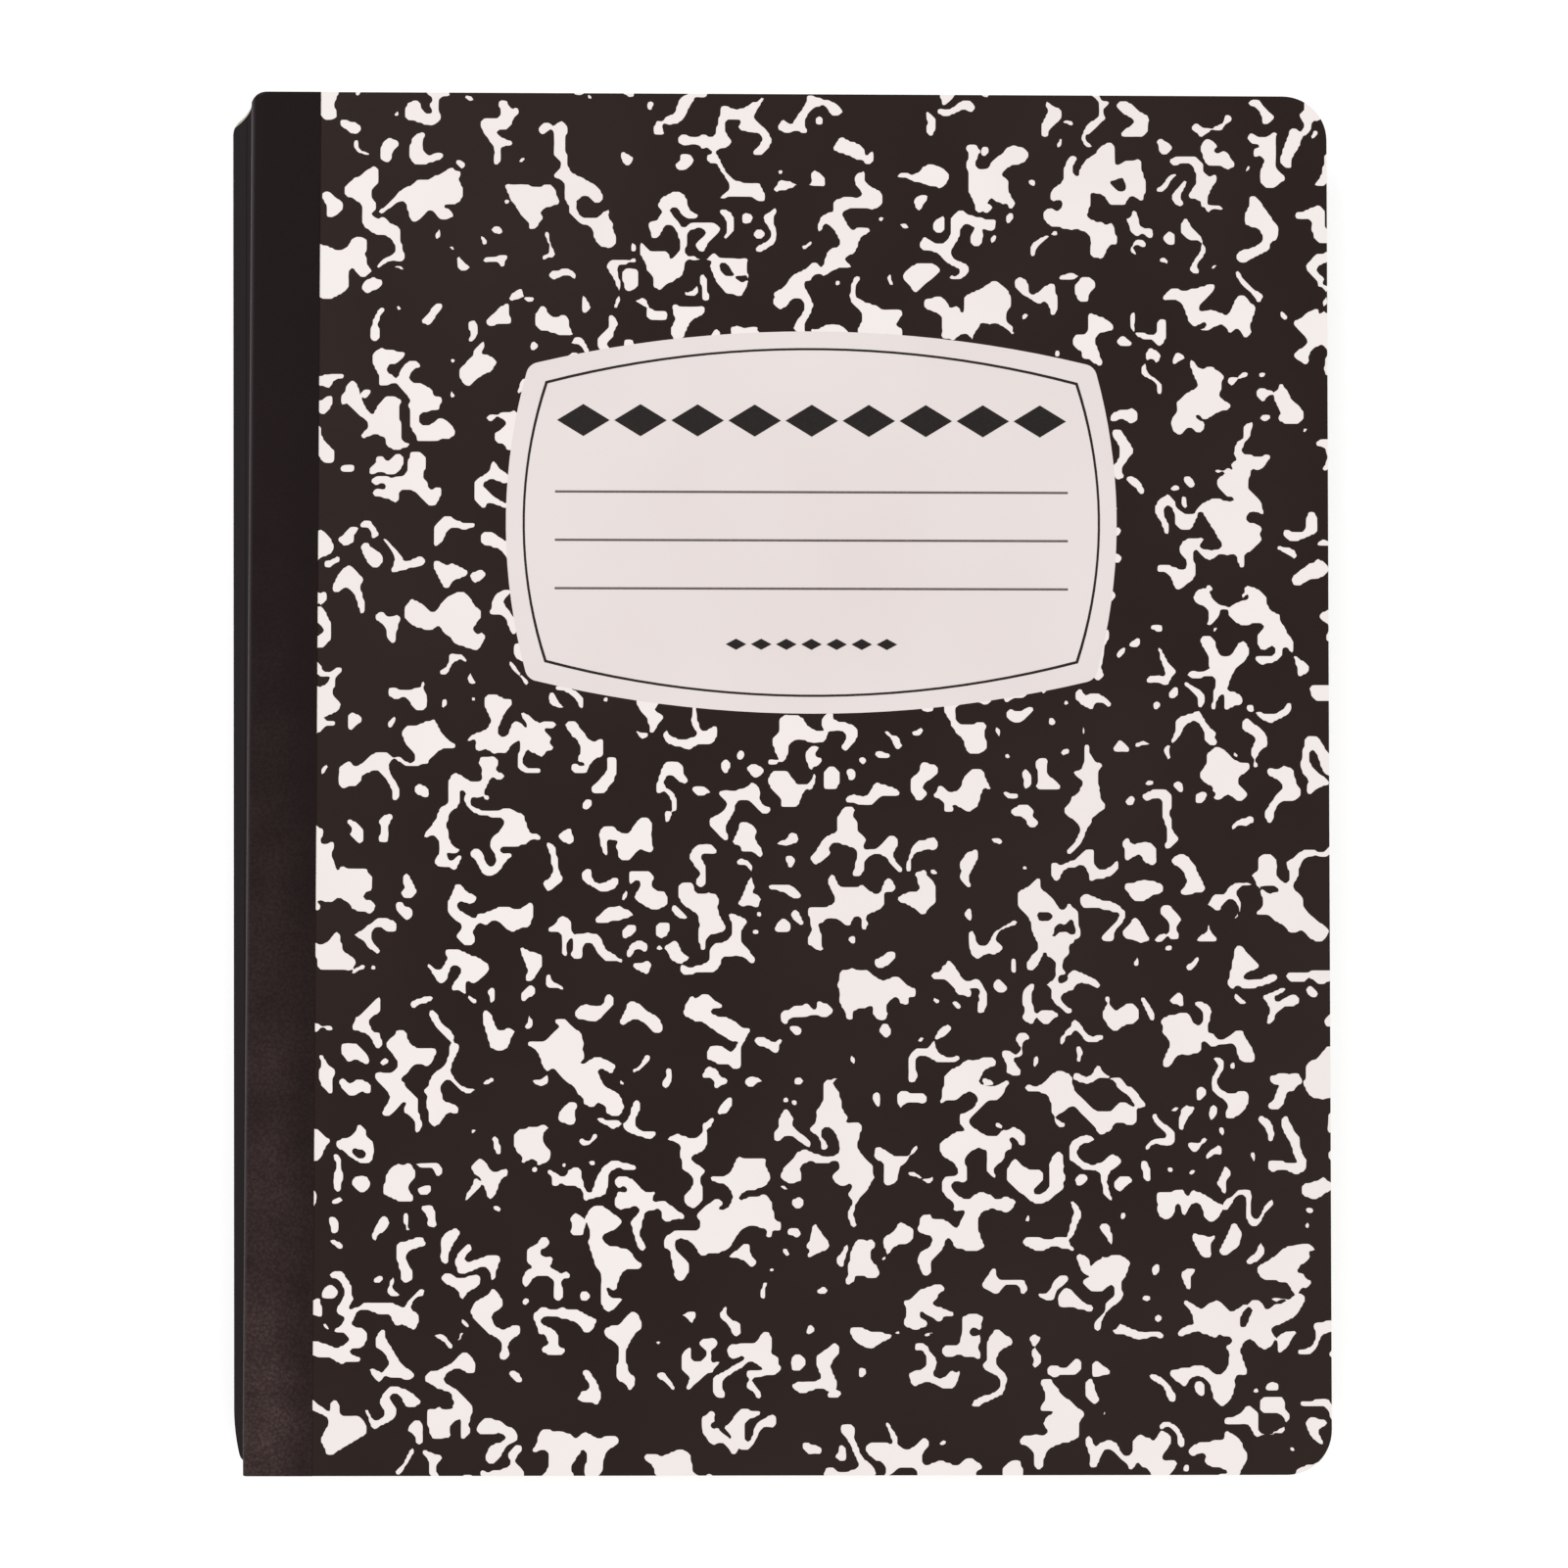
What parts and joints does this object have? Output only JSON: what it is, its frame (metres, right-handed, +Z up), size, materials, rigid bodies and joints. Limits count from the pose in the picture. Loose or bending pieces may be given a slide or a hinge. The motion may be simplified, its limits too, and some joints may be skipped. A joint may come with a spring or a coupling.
{
  "type": "composition notebook",
  "caption": "Sewn composition notebook with a marbled cover, taped spine and blank front label, lying slightly cocked; both covers open.",
  "frame": {"origin": "on the surface the notebook lies on, under the middle of its outline", "axes": "+X from the spine to the fore-edge, +Y from the tail to the head of the pages, +Z up from the back cover to the front cover"},
  "size_m": [0.2008, 0.2492, 0.011],
  "materials": {
    "leaves": "matte, fine leaf edges",
    "thread": "matte cotton",
    "board": "smooth, low sheen",
    "tape": "fine grained book cloth",
    "white_print": "smooth, low sheen",
    "black_print": "smooth, low sheen",
    "rule_ink": "matte",
    "margin_ink": "matte"
  },
  "bodies": {
    "text_block": {"text_block": "leaves", "sewing_thread": "thread", "cover_spine": "board", "spine_tape": "tape", "first_page_rules": "rule_ink", "first_page_margin": "margin_ink", "last_page_rules": "rule_ink", "last_page_margin": "margin_ink"},
    "front_cover": {"front_cover": "board", "front_tape_flap": "tape", "front_marbling": "white_print", "label_panel": "white_print", "label_border": "black_print", "label_rules": "black_print", "label_title_ornament": "black_print", "label_note_ornament": "black_print"},
    "back_cover": {"back_cover": "board", "back_marbling": "white_print", "back_tape_flap": "tape"}
  },
  "joints": [
    {"name": "front_cover_hinge", "type": "hinge", "parent": "text_block", "child": "front_cover", "pos_m": [-0.09381, 0.00003, 0.011], "axis": [0, -1, 0], "range_deg": [0, 180]},
    {"name": "back_cover_hinge", "type": "hinge", "parent": "text_block", "child": "back_cover", "pos_m": [-0.09941, -0.00075, 0.0011], "axis": [-0.0081, 1, 0], "range_deg": [0, 180]}
  ]
}
